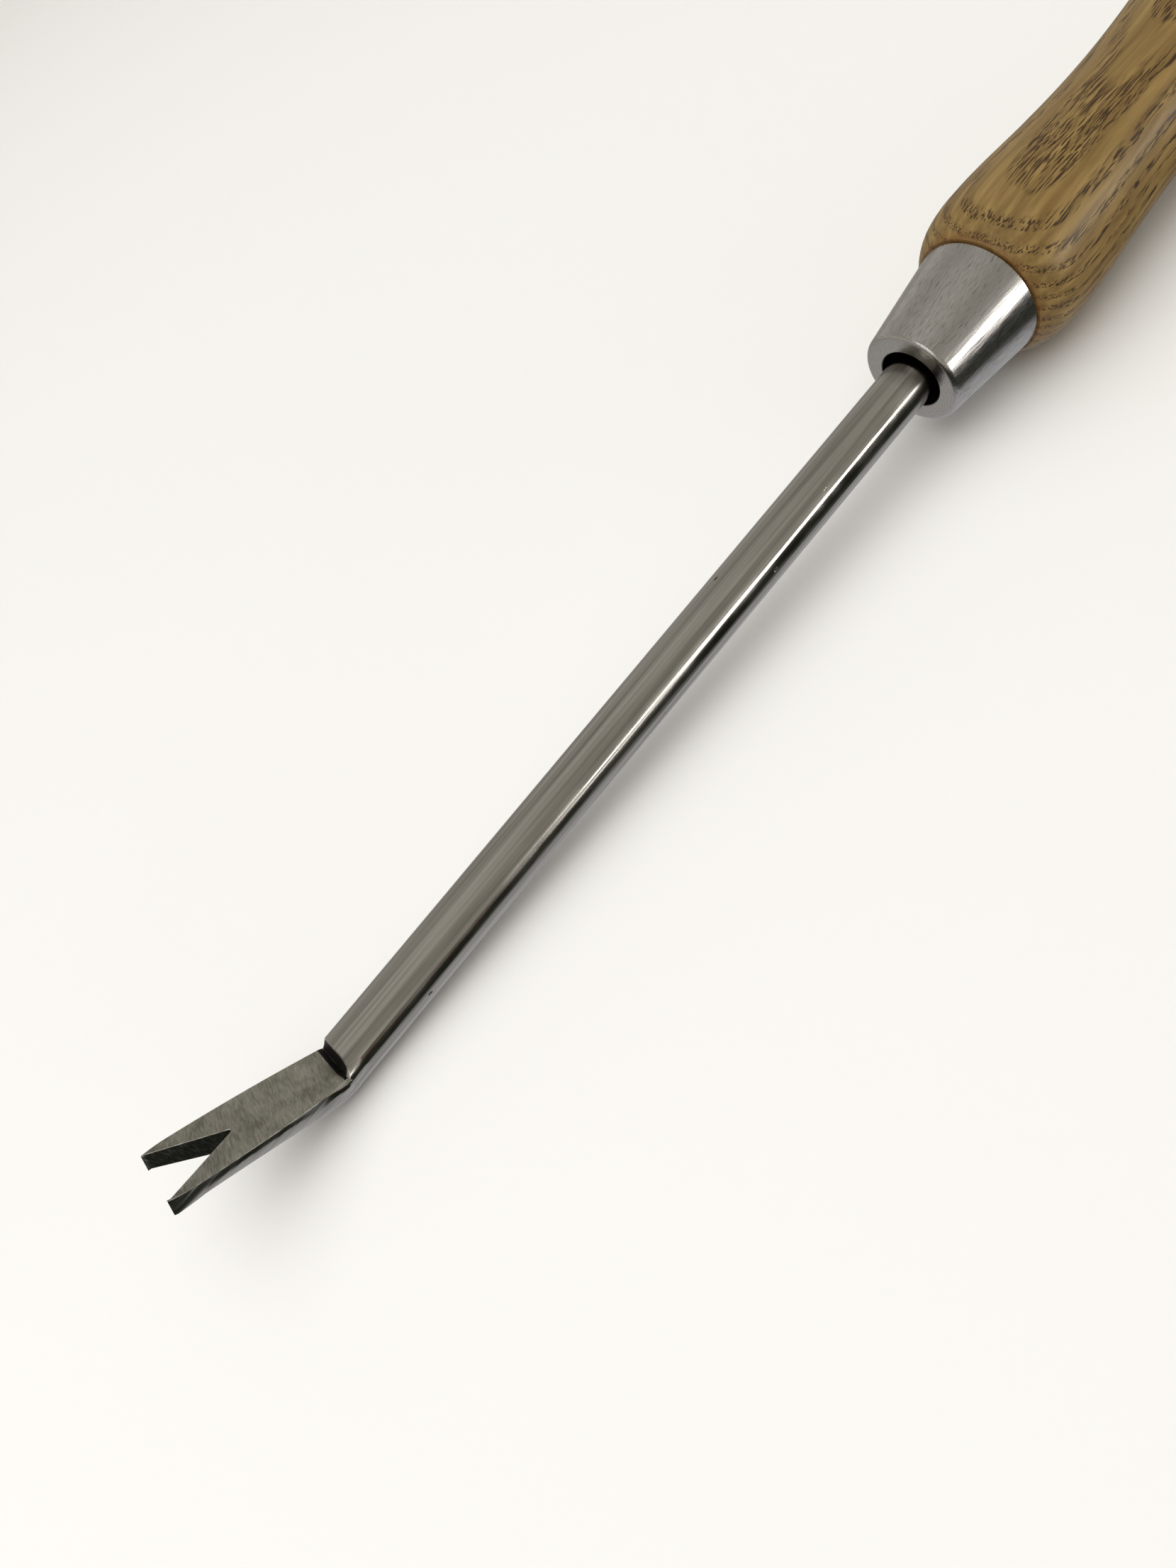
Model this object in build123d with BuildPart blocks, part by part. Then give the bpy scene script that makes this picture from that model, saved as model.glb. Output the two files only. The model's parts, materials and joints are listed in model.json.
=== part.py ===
"""Hive tool: a forked, cranked steel blade and its round shank in one forging, with a drawn
steel ferrule and a turned ash handle glued on the tang.

All sizes are millimetres. The tool lies on a flat surface with the blade's flat face up. It touches
that surface with the bulge of the handle and with the heel under the crank. +X runs from the butt to
the blade and +Z is up. The origin is the middle of the footprint, on the surface.

Distances named "x" below run along the shank's axis from the ferrule's mouth: forward to the blade
they are positive, back into the handle they are negative.
"""

from build123d import *
import math
import os

# ---- Driving dimensions ------------------------------------------------------------------------

# Shank: round bar.
shank_radius = 5.0
shank_length = 163.0  # ferrule mouth to the shoulder above the blade

# Blade: the bar's end, cranked up, flattened on top and split into two tines.
crank_angle = 27.6  # flat face against the shank's axis, degrees
face_height = 0.4  # of the flat face's plane over the shank's axis, face_setback past the shoulder
face_setback = 1.0
blade_length = 34.4  # from there to the tips, along the face
middle_half_width = 6.05  # half way along the blade
blade_half_width = 6.15  # where the tines' outer edges start to curve in
root_step = 0.03  # what the blade's root stands proud of the shank's side
root_flat = 0.13  # left between the root's corner roundings
middle_corner = 2.3  # lower corners, half way along the blade
tip_corner = 0.4
heel_swell = 2.1  # what the blade's root is thicker than the shank's radius
tip_thickness = 3.65
heel_radius = 12.0  # outside of the bend under the crank
notch_depth = 13.9
notch_root_radius = 0.7
tip_half_gap = 5.75  # from the middle to each point
tip_sweep = 4.5  # length over which the tines' outer edges curve in to the points
shoulder_lean = 0.12  # what the shoulder runs forward for each millimetre down, at its lip
shoulder_groove = 0.25  # depth of the nick where face and shoulder meet
groove_along = 1.3  # its deepest line, from the face's datum
groove_end = 2.5
stock_past_tips = 2.0  # metal beyond the points before they are cut

# Tang: the part of the forging inside the handle.
tang_collar_length = 18.0  # round bar that goes on behind the ferrule's mouth
tang_length = 80.0  # ferrule mouth to the tang's end
tang_root_width = 6.8
tang_end_width = 4.0
tang_corner = 0.6

# Ferrule: a drawn cup, open at the wide end, with a clear hole round the shank.
ferrule_length = 22.0
ferrule_mouth_radius = 10.3  # where cone and mouth face would meet
ferrule_rear_radius = 13.0
ferrule_wall = 1.0
ferrule_hole_gap = 1.35  # all round the shank
ferrule_mouth_rounding = 1.1
ferrule_inner_rounding = 0.5
ferrule_hole_rounding = 0.3
ferrule_rim_rounding = 0.45

# Handle: turned ash.
spigot_setback = 4.0  # mouth to the wood inside the ferrule
shoulder_overhang = 0.4  # wood standing proud of the ferrule's rim
crest_setback = 11.0  # ferrule's rim to the thickest place of the front bulge
crest_radius = 16.8
crest_rounding = 28.0
crest_span = 5.0  # stretch of that rounding in front of the crest
neck_setback = 30.0  # ferrule's rim to half way down the back of the bulge
neck_radius = 15.55
waist_setback = 60.0  # ferrule's rim to the thinnest place
waist_radius = 14.55
palm_setback = 22.0  # butt to the thickest place of the palm swell
palm_radius = 16.6
handle_length = 122.0  # wood behind the ferrule's rim
butt_flat_radius = 6.0
butt_rounding = 3.5
hang_hole_radius = 3.0
hang_hole_setback = 13.0  # from the butt
hang_hole_rounding = 0.6

# Bore for the tang, and the glue in it.
glue_gap = 0.5  # all round the shank's radius
bore_past_tang = 5.0
bore_point_length = 2.5

# What two places may differ by and still be the same, and what a cut stands off a side it spares.
same_place = 0.01
sweep_clearance = 0.1

# ---- Places worked out from them ---------------------------------------------------------------

face_x = shank_length + face_setback
crank = math.radians(crank_angle)
rim_x = -ferrule_length
crest_x = rim_x - crest_setback
butt_x = rim_x - handle_length
heel_thickness = shank_radius + heel_swell
root_half_width = shank_radius + root_step
root_corner = root_half_width - root_flat


def on_blade(along, depth=0.0):
    """Side view place: along the flat face from its datum, and depth under the face."""
    x = face_x + along * math.cos(crank) + depth * math.sin(crank)
    height = face_height + along * math.sin(crank) - depth * math.cos(crank)
    return x, height


# The blade thins evenly from root to tips. Its underside meets the shank's at the heel's corner.
thinning = (heel_thickness - tip_thickness) / blade_length
heel_rise = heel_thickness * math.cos(crank) - face_height - shank_radius
heel_along = heel_rise / (math.sin(crank) + thinning * math.cos(crank))
heel_corner = on_blade(heel_along, heel_thickness - thinning * heel_along)
heel_turn = crank + math.atan(thinning)
heel_start_x = heel_corner[0] - heel_radius * math.tan(heel_turn / 2)

# The tool lies on two arcs: the crest of the handle's bulge and the rounded heel. The surface is
# their common tangent, which is how far the nose drops and how high the axis is at the mouth.
rest_dx = heel_start_x - crest_x
rest_dz = (heel_radius - shank_radius) - (crest_rounding - crest_radius)
rest_span = math.hypot(rest_dx, rest_dz)
nose_down = math.atan2(rest_dz, rest_dx) - math.asin((heel_radius - crest_rounding) / rest_span)
crest_centre = crest_rounding - crest_radius
axis_height = crest_rounding + crest_x * math.sin(nose_down) - crest_centre * math.cos(nose_down)


def ahead(x, height):
    """How far in front of the mouth's centre a side view place is, measured along the surface."""
    return x * math.cos(nose_down) + height * math.sin(nose_down)


front = ahead(*on_blade(blade_length, tip_thickness))
back = ahead(butt_x, -butt_flat_radius)
mouth_x = -(front + back) / 2

# Side view of the tool: x along the shank's axis, y up through the blade's flat face.
side = Plane(
    origin=(mouth_x, 0, axis_height),
    x_dir=(math.cos(nose_down), 0, -math.sin(nose_down)),
    z_dir=(0, -1, 0),
)
shank_axis = Axis(side.origin, side.x_dir)


def across(x, height=0.0, pitch=0.0):
    """Plane square to the tool, facing the blade and pitched up from the shank's axis."""
    place = side.from_local_coords((x, height))
    angle = pitch - nose_down
    return Plane(origin=place, x_dir=(0, 1, 0), z_dir=(math.cos(angle), 0, math.sin(angle)))


def rings(part, radius):
    """The round edges of a part that have this radius."""
    round_edges = part.edges().filter_by(GeomType.CIRCLE)
    return round_edges.filter_by(lambda edge: abs(edge.radius - radius) < same_place)


# ---- Forging: blade, shank and tang ------------------------------------------------------------

clear = 4 * shank_radius  # what a cut reaches past the metal
bar_height = 2 * shank_radius / math.cos(crank)  # the bar's, sliced square to the blade
stock_above = bar_height - heel_thickness  # metal over the flat face before it is cut

# Square to the flat face: x runs along the blade from the face's datum, y to the tool's left.
face = Plane(
    origin=side.from_local_coords(on_blade(0)),
    x_dir=across(0, 0, crank).z_dir,
    z_dir=across(0, 0, crank).y_dir,
)

with BuildPart() as blade_shank:
    # The bar's end, drawn out from nearly round at the heel to a flat box at the tips.
    for along, half_width, corner in (
        (heel_along, root_half_width, root_corner),
        (blade_length / 2, middle_half_width, middle_corner),
        (blade_length + stock_past_tips, blade_half_width, tip_corner),
    ):
        thickness = heel_thickness - thinning * along
        with BuildSketch(across(*on_blade(along, (thickness - stock_above) / 2), crank)):
            RectangleRounded(2 * half_width, thickness + stock_above, corner)
    loft()

    # Plan: the tines' outer edges sweep in to the points, and the notch parts them.
    with BuildSketch(face):
        with BuildLine():
            tip = (blade_length, tip_half_gap)
            sweep_start = (blade_length - tip_sweep, blade_half_width + sweep_clearance)
            Polyline(
                (-clear, 0),
                (-clear, clear),
                (sweep_start[0], clear),
                sweep_start,
            )
            TangentArc(sweep_start, tip, tangent=(1, 0))
            Line(tip, (blade_length - notch_depth, 0))
            mirror(about=Plane.XZ)
        make_face()
    extrude(amount=clear, both=True, mode=Mode.INTERSECT)
    notch_root = blade_shank.edges().filter_by(lambda edge: abs(edge.center().Y) < same_place)
    fillet(notch_root.filter_by(Axis(face.origin, face.z_dir)), notch_root_radius)

    # Round bar from the heel back into the handle, and the heel rounded off.
    with BuildSketch(across(-tang_collar_length)):
        Circle(shank_radius)
    extrude(amount=tang_collar_length + heel_corner[0])
    with BuildSketch(side):
        with BuildLine():
            heel_start = (heel_start_x, -shank_radius)
            heel_tangent = heel_corner[0] - heel_start_x
            heel_end = (
                heel_corner[0] + heel_tangent * math.cos(heel_turn),
                heel_corner[1] + heel_tangent * math.sin(heel_turn),
            )
            TangentArc(heel_start, heel_end, tangent=(1, 0))
            Polyline(heel_end, (heel_end[0], -clear), (heel_start_x, -clear), heel_start)
        make_face()
    extrude(amount=clear, both=True, mode=Mode.SUBTRACT)

    # Square tang, drawn down to its end.
    with BuildSketch(across(-tang_collar_length)):
        RectangleRounded(tang_root_width, tang_root_width, tang_corner)
    with BuildSketch(across(-tang_length)):
        RectangleRounded(tang_end_width, tang_end_width, tang_corner)
    loft()

    # The flat face and the shoulder behind it, taken off the top of the bar.
    with BuildSketch(side):
        with BuildLine():
            lip = (shank_length, shank_radius)
            above_lip = (shank_length, 2 * clear)
            groove = on_blade(groove_along, shoulder_groove)
            face_end = on_blade(blade_length + clear)
            Line(above_lip, lip)
            TangentArc(lip, groove, tangent=(shoulder_lean, -1))
            Polyline(groove, on_blade(groove_end), face_end, (face_end[0], 2 * clear), above_lip)
        make_face()
    extrude(amount=clear, both=True, mode=Mode.SUBTRACT)

blade_shank.part.label = "blade_shank"

# ---- Ferrule -----------------------------------------------------------------------------------

ferrule_slope = (ferrule_rear_radius - ferrule_mouth_radius) / ferrule_length
ferrule_hole_radius = shank_radius + ferrule_hole_gap


def ferrule_inside(x):
    """Radius of the ferrule's inner wall, which is also that of the spigot it is pressed on."""
    return ferrule_mouth_radius - ferrule_slope * x - ferrule_wall


with BuildPart() as ferrule:
    with BuildSketch(side):
        with BuildLine():
            Polyline(
                (0, ferrule_hole_radius),
                (0, ferrule_mouth_radius),
                (rim_x, ferrule_rear_radius),
                (rim_x, ferrule_inside(rim_x)),
                (-ferrule_wall, ferrule_inside(-ferrule_wall)),
                (-ferrule_wall, ferrule_hole_radius),
                close=True,
            )
        make_face()
    revolve(axis=shank_axis)
    fillet(rings(ferrule, ferrule_mouth_radius), ferrule_mouth_rounding)
    fillet(rings(ferrule, ferrule_inside(-ferrule_wall)), ferrule_inner_rounding)
    fillet(rings(ferrule, ferrule_hole_radius), ferrule_hole_rounding)
    fillet(rings(ferrule, ferrule_rear_radius), ferrule_rim_rounding)

ferrule.part.label = "ferrule"

# ---- Handle ------------------------------------------------------------------------------------

bore_radius = shank_radius + glue_gap
bore_end = -(tang_length + bore_past_tang)

# Half section of the blind bore, with a drill point, from the spigot's face to past the tang.
bore_section = [
    (-spigot_setback, 0),
    (-spigot_setback, bore_radius),
    (bore_end, bore_radius),
    (bore_end - bore_point_length, 0),
]

with BuildPart() as handle:
    with BuildSketch(side):
        with BuildLine():
            crest = (crest_x, crest_radius)
            nose_drop = crest_rounding - math.sqrt(crest_rounding**2 - crest_span**2)
            nose = (crest_x + crest_span, crest_radius - nose_drop)
            nose_slope = -crest_span / (crest_rounding - nose_drop)
            rim = (rim_x, ferrule_rear_radius + shoulder_overhang)
            neck = (rim_x - neck_setback, neck_radius)
            waist = (rim_x - waist_setback, waist_radius)
            palm = (butt_x + palm_setback, palm_radius)
            Polyline(
                rim,
                (rim_x, ferrule_inside(rim_x)),
                (-spigot_setback, ferrule_inside(-spigot_setback)),
                (-spigot_setback, 0),
                (butt_x, 0),
                (butt_x, butt_flat_radius),
            )
            TangentArc(nose, rim, tangent=(1, nose_slope))
            RadiusArc(crest, nose, crest_rounding)
            Spline(crest, neck, waist, palm, tangents=[(-1, 0), (-1, 0)])
            TangentArc(palm, (butt_x, butt_flat_radius), tangent=(-1, 0))
        make_face()
    revolve(axis=shank_axis)
    fillet(rings(handle, butt_flat_radius), butt_rounding)
    with BuildSketch(side):
        Polygon(*bore_section, align=None)
    revolve(axis=shank_axis, mode=Mode.SUBTRACT)
    with BuildSketch(side):
        with Locations((butt_x + hang_hole_setback, 0)):
            Circle(hang_hole_radius)
    extrude(amount=2 * palm_radius, both=True, mode=Mode.SUBTRACT)
    hole_wall = handle.faces().filter_by(GeomType.CYLINDER).sort_by(Axis.X)[0]
    fillet(hole_wall.edges().filter_by(GeomType.LINE, reverse=True), hang_hole_rounding)

handle.part.label = "handle"

# ---- Glue that holds the tang ------------------------------------------------------------------

with BuildPart() as tang_adhesive:
    with BuildSketch(side):
        Polygon(*bore_section, align=None)
    revolve(axis=shank_axis)
    add(blade_shank.part, mode=Mode.SUBTRACT)

tang_adhesive.part.label = "tang_adhesive"

# ---- Files -------------------------------------------------------------------------------------

os.makedirs("parts", exist_ok=True)
export_step(blade_shank.part, "parts/blade_shank.step")
export_step(ferrule.part, "parts/ferrule.step")
export_step(handle.part, "parts/handle.step")
export_step(tang_adhesive.part, "parts/tang_adhesive.step")
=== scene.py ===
# %% [markdown]
# # A forked hive tool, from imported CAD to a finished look
# The tool is a beekeeper's pry bar: a forked blade forged on the end of a long round shank, a drawn
# steel ferrule and a turned ash handle. The CAD model fixes every size. This lesson loads it as the
# frame, models the forging and the ferrule again with clean, fine meshes, and gives each surface the
# finish that its making leaves on it.

# %% Load the frame
import json
import math

import bmesh
import bpy
from mathutils import Matrix, Vector


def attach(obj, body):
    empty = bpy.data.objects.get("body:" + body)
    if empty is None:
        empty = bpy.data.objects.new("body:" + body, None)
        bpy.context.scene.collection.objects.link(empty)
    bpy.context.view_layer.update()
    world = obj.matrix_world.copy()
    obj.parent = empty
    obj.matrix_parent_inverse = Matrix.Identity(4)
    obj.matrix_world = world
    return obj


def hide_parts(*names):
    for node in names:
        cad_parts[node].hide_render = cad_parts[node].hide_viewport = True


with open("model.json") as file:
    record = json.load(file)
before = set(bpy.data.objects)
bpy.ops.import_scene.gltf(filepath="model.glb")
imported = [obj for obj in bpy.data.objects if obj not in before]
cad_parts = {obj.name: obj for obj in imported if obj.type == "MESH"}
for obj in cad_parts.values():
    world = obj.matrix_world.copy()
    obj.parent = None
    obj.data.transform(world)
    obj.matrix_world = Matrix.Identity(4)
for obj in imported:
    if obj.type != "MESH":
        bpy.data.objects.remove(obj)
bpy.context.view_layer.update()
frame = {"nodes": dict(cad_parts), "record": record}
nodes = frame["nodes"]
print("CAD nodes:", sorted(nodes))

# %% [markdown]
# ## The tool's own axes
# The tool lies on its bulge and its heel, so its shank isn't level. Everything on it is easier to
# place along the shank's axis, in millimetres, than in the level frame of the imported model. Two
# mount points lie on that axis, the hole in the handle and the place where a clip grips the shank,
# so the axis is the line through both. Its zero is the ferrule's mouth: forward is the blade.

# %% Find the shank's axis and the ferrule's mouth
MM = 0.001
mounts = {mount["name"]: Vector(mount["pos_m"]) for mount in frame["record"]["mounts"]}
ahead = (mounts["shank_grip"] - mounts["hang_hole"]).normalized()
left = Vector((0, 1, 0))
up = ahead.cross(left)


def reach(node):
    """How far a CAD node runs along the axis from the hang hole: its two ends, in metres."""
    distances = [(v.co - mounts["hang_hole"]).dot(ahead) for v in nodes[node].data.vertices]
    return min(distances), max(distances)


mouth = mounts["hang_hole"] + ahead * reach("ferrule")[1]
tool = Matrix.Translation(mouth) @ Matrix((ahead, left, up)).transposed().to_4x4() @ Matrix.Scale(MM, 4)
nose_down = math.atan2(-ahead.z, ahead.x)
print(f"the shank dips {math.degrees(nose_down):.2f} degrees; ferrule mouth at {tuple(mouth)}")

# %% [markdown]
# ## Camera
# The tool is seen from close by with a wide lens, from above its left side and a little in front.
# A near, wide view makes the ferrule large and the blade small, which a long lens would not. The
# camera's place and its two directions are given along the tool's axes, so they hold for the tool
# however it lies.

# %% Place the camera
camera_place = Vector((128.0, 140.95, 150.02))
camera_right = Vector((-0.6329, 0.6242, -0.458))
camera_up = Vector((-0.7623, -0.3993, 0.5093))
lens_length, sensor_width = 26.53, 36  # millimetres

camera_data = bpy.data.cameras.new("camera")
camera_data.sensor_width = sensor_width
camera_data.lens = lens_length
camera_data.clip_start = 0.01
camera = bpy.data.objects.new("camera", camera_data)
bpy.context.scene.collection.objects.link(camera)
turn = tool.to_3x3() @ Matrix((camera_right, camera_up, camera_right.cross(camera_up))).transposed()
camera.matrix_world = Matrix.Translation(tool @ camera_place) @ turn.to_quaternion().to_matrix().to_4x4()
bpy.context.scene.camera = camera
print("camera at", tuple(round(c, 3) for c in camera.location))

# %% [markdown]
# ## A node helper and a colour helper
# Shader colours are linear, while a colour picker gives sRGB hex values, so one function turns the
# one into the other. A second function adds a node to a tree with its settings and its links, which
# keeps every material below short enough to read.

# %% Make the two shader helpers
def paint(hex_colour):
    """A colour picker's sRGB hex value as the linear colour that a shader takes."""
    shares = [int(hex_colour[i : i + 2], 16) / 255 for i in (1, 3, 5)]
    return tuple(s / 12.92 if s <= 0.04045 else ((s + 0.055) / 1.055) ** 2.4 for s in shares) + (1,)


def add_node(tree, kind, inputs, stops=(), **settings):
    """Adds a node. inputs maps a socket's name or number to a value or to a socket that links to it,
    and stops are a colour ramp's places and hex colours."""
    node = tree.nodes.new(kind)
    for name, value in settings.items():
        setattr(node, name, value)
    for name, value in inputs.items():
        if isinstance(value, bpy.types.NodeSocket):
            tree.links.new(value, node.inputs[name])
        else:
            node.inputs[name].default_value = value
    for number, (share, colour) in enumerate(stops):
        if number < 2:
            element = node.color_ramp.elements[number]
        else:
            element = node.color_ramp.elements.new(share)
        element.position = share
        element.color = paint(colour)
    return node


print("middle grey is", round(paint("#808080")[0], 3), "in linear light")

# %% [markdown]
# ## The room
# Polished steel has hardly any colour of its own: it shows the room. The room here is a pale one with
# a dark side: the side that the tool's left edge faces is dark below the horizon, as it is where
# somebody stands at the table, and everything else is a quiet light grey. That one dark side gives
# the round bar its dark flank, and the low window over it gives the bar its white streak. Seen
# directly, past the end of the floor, the room is a plain pale grey.

# %% Build the room
bpy.context.scene.view_settings.view_transform = "Standard"
room = bpy.data.worlds.new("room")
bpy.context.scene.world = room
room.use_nodes = True
tree = room.node_tree
direction = add_node(tree, "ShaderNodeTexCoord", {}).outputs["Generated"]
direction = add_node(tree, "ShaderNodeSeparateXYZ", {0: direction})
height = add_node(tree, "ShaderNodeMapRange", {"Value": direction.outputs["Z"], "From Min": -1.0})
dark_side = add_node(
    tree,
    "ShaderNodeValToRGB",
    {0: height.outputs[0]},
    stops=(
        (0.0, "#bfc0c4"),
        (1.0, "#bcbab4"),
        (0.12, "#aeafb3"),
        (0.155, "#31342d"),
        (0.3, "#1d221b"),
        (0.42, "#2e231c"),
        (0.46, "#6d5e52"),
        (0.49, "#453b34"),
        (0.52, "#cfccc5"),
        (0.62, "#a8a59e"),
        (0.85, "#9b9891"),
    ),
)
pale_side = add_node(
    tree,
    "ShaderNodeValToRGB",
    {0: height.outputs[0]},
    stops=(
        (0.0, "#b9bbbe"),
        (1.0, "#bcbab4"),
        (0.3, "#aaa7a3"),
        (0.48, "#9b9791"),
        (0.56, "#c2bfb9"),
        (0.72, "#aeaba5"),
        (0.88, "#a2a09b"),
    ),
)
to_dark_side = add_node(
    tree, "ShaderNodeMapRange", {"Value": direction.outputs["Y"], "From Min": -0.45, "From Max": 0.05}
)
colour = add_node(
    tree,
    "ShaderNodeMix",
    {0: to_dark_side.outputs[0], 6: pale_side.outputs[0], 7: dark_side.outputs[0]},
    data_type="RGBA",
)
ray = add_node(tree, "ShaderNodeLightPath", {})
colour = add_node(
    tree,
    "ShaderNodeMix",
    {0: ray.outputs["Is Camera Ray"], 6: colour.outputs[2], 7: paint("#e4e3df")},
    data_type="RGBA",
)
tree.links.new(colour.outputs[2], tree.nodes["Background"].inputs["Color"])
print(room.name, "has", len(tree.nodes), "nodes")

# %% [markdown]
# ## Lamps
# One large soft lamp overhead lights the wood and the floor. It is left out of the reflections, so
# that it doesn't draw a second streak on the bar. The low side window is long and shallow, and it is
# what the streak along the bar is a picture of. A small weak lamp in front of the blade brightens
# what faces forward.

# %% Hang the lamps
lamp_aim = Vector((60, 0, 0))
lamps = (
    # name, place and size in millimetres on the tool's axes, watts, seen in the steel
    ("ceiling_lamp", (60, -150, 1400), (2600, 2600), 24.0, False),
    ("side_window", (-700, 1240, 20), (1400, 260), 6.8, True),
    ("front_fill", (520, 160, 420), (400, 400), 0.5, True),
)
for name, lamp_place, size, watts, seen in lamps:
    lamp_data = bpy.data.lights.new(name, "AREA")
    lamp_data.shape = "RECTANGLE"
    lamp_data.size = size[0] * MM
    lamp_data.size_y = size[1] * MM
    lamp_data.energy = watts
    lamp = bpy.data.objects.new(name, lamp_data)
    lamp.location = tool @ Vector(lamp_place)
    lamp.visible_glossy = seen
    lamp.rotation_euler = (tool @ lamp_aim - lamp.location).to_track_quat("-Z", "Y").to_euler()
    bpy.context.scene.collection.objects.link(lamp)
print("lamps:", [lamp[0] for lamp in lamps])

# %% [markdown]
# ## The floor
# A sheet of white paper that runs flat under the tool and sweeps up behind it, so no horizon shows.
# The paper is left out of the reflections: a white floor would turn the dark side of the steel white.

# %% Lay the floor
floor_reach = 3.0  # metres from the middle to each side
floor_back = -1.3
sweep_radius = 0.7
sweep_steps = 24
build = bmesh.new()
bmesh.ops.create_grid(build, x_segments=1, y_segments=1, size=floor_reach)
rear = [vert for vert in build.verts if vert.co.y < 0]
for vert in rear:
    vert.co.y = floor_back
rear_edge = [edge for edge in build.edges if all(vert in rear for vert in edge.verts)]
swept = bmesh.ops.spin(
    build,
    geom=rear + rear_edge,
    cent=(0, floor_back, sweep_radius),
    axis=(1, 0, 0),
    dvec=(0, 0, 0),
    angle=-math.pi / 2,
    steps=sweep_steps,
)["geom_last"]
top_edge = [item for item in swept if isinstance(item, bmesh.types.BMEdge)]
raised = bmesh.ops.extrude_edge_only(build, edges=top_edge)["geom"]
raised = [item for item in raised if isinstance(item, bmesh.types.BMVert)]
bmesh.ops.translate(build, verts=raised, vec=(0, 0, floor_reach))
bmesh.ops.recalc_face_normals(build, faces=build.faces)
floor_mesh = bpy.data.meshes.new("floor")
build.to_mesh(floor_mesh)
build.free()
floor_mesh.shade_smooth()
floor = bpy.data.objects.new("floor", floor_mesh)
bpy.context.scene.collection.objects.link(floor)
floor.visible_glossy = False
paper = bpy.data.materials.new("matt_white_paper")  # no gloss, so it only shows soft shadows
paper.use_nodes = True
paper.node_tree.nodes["Principled BSDF"].inputs["Base Color"].default_value = paint("#f4f3f1")
paper.node_tree.nodes["Principled BSDF"].inputs["Roughness"].default_value = 0.9
floor_mesh.materials.append(paper)
print("floor sweeps up", floor_back, "m behind the tool")

# %% [markdown]
# ## Outlines for turned work
# The ferrule is a body of revolution. Its outline is straight runs and arcs. One helper makes the arc
# that leaves a point in a given direction and ends in another point, and a second one rounds the
# corners of an outline with it.

# %% Make the two outline helpers
def arc(start, heading, end, steps):
    """Points after start, on the arc that leaves it along heading and ends in end."""
    start, heading, chord = Vector(start), Vector(heading).normalized(), Vector(end) - Vector(start)
    bend = math.atan2(heading.x * chord.y - heading.y * chord.x, heading.dot(chord))
    points = []
    for step in range(1, steps + 1):
        angle = bend * step / steps
        share = math.sin(angle) / math.sin(bend) * chord.length
        points.append(start + Matrix.Rotation(angle, 2) @ heading * share)
    return points


def rounded(corners, steps=8):
    """A closed outline from corners of (x, radius, rounding), with each corner rounded to its arc."""
    points = []
    for i, (x, radius, rounding) in enumerate(corners):
        corner = Vector((x, radius))
        before = (Vector(corners[i - 1][:2]) - corner).normalized()
        after = (Vector(corners[(i + 1) % len(corners)][:2]) - corner).normalized()
        back = rounding / math.tan(before.angle(after) / 2)
        points.append(corner + before * back)
        if rounding:
            points += arc(points[-1], -before, corner + after * back, steps)
    return points


print("a quarter turn in 3 steps:", [tuple(p) for p in arc((0, 0), (1, 0), (1, 1), 3)])

# %% [markdown]
# ## Finishing a piece
# Every new piece is modelled in millimetres on the tool's axes. At the end one matrix takes it into
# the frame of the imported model, so its object can stay at the origin, unturned and unscaled. Faces
# that meet at more than a set angle keep a crisp edge, and all others are shaded smooth.

# %% Make the finishing helper
def finish_piece(name, build, sharp_angle=32):
    """Turns a bmesh made in millimetres on the tool's axes into a piece that rides on the root."""
    bmesh.ops.transform(build, matrix=tool, verts=build.verts)
    mesh = bpy.data.meshes.new(name)
    build.to_mesh(mesh)
    build.free()
    mesh.shade_smooth()
    mesh.set_sharp_from_angle(angle=math.radians(sharp_angle))
    piece = bpy.data.objects.new(name, mesh)
    bpy.context.scene.collection.objects.link(piece)
    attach(piece, "root")
    print(f"{name}: {len(mesh.vertices)} vertices, {len(mesh.polygons)} faces")
    return piece


print("one millimetre is", round(tool.to_scale().x, 6), "metres in the frame")

# %% [markdown]
# ## The ferrule
# A drawn steel cup: a conical wall with a front face bent in round the shank. A lathe view of it is
# one closed outline, and bmesh's spin turns that outline round the axis into an even mesh. The
# CAD node could have stayed, but its triangles are long and uneven, and a polished cone shows that.

# %% Spin the ferrule
shank_radius = 5.0
ferrule_length = (reach("ferrule")[1] - reach("ferrule")[0]) / MM
ferrule_mouth_radius = 10.3
ferrule_rear_radius = 13.0
ferrule_wall = 1.0
ferrule_clearance = 1.35
ferrule_hole_radius = shank_radius + ferrule_clearance
ferrule_slope = (ferrule_rear_radius - ferrule_mouth_radius) / ferrule_length
inside_front = ferrule_mouth_radius - ferrule_wall + ferrule_slope * ferrule_wall
ferrule_corners = (
    # x from the mouth, radius, rounding
    (0, ferrule_hole_radius, 0.3),
    (0, ferrule_mouth_radius, 1.1),
    (-ferrule_length, ferrule_rear_radius, 0.45),
    (-ferrule_length, ferrule_rear_radius - ferrule_wall, 0),
    (-ferrule_wall, inside_front, 0.5),
    (-ferrule_wall, ferrule_hole_radius, 0.3),
)
turns = 192
build = bmesh.new()
outline = [build.verts.new((x, 0, radius)) for x, radius in rounded(ferrule_corners)]
edges = [build.edges.new((a, b)) for a, b in zip(outline, outline[1:] + outline[:1])]
bmesh.ops.spin(
    build,
    geom=outline + edges,
    cent=(0, 0, 0),
    axis=(1, 0, 0),
    dvec=(0, 0, 0),
    angle=2 * math.pi,
    steps=turns,
    use_merge=True,
    use_duplicate=False,
)
bmesh.ops.recalc_face_normals(build, faces=build.faces)
ferrule = finish_piece("drawn_ferrule", build)
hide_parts("ferrule")

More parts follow.
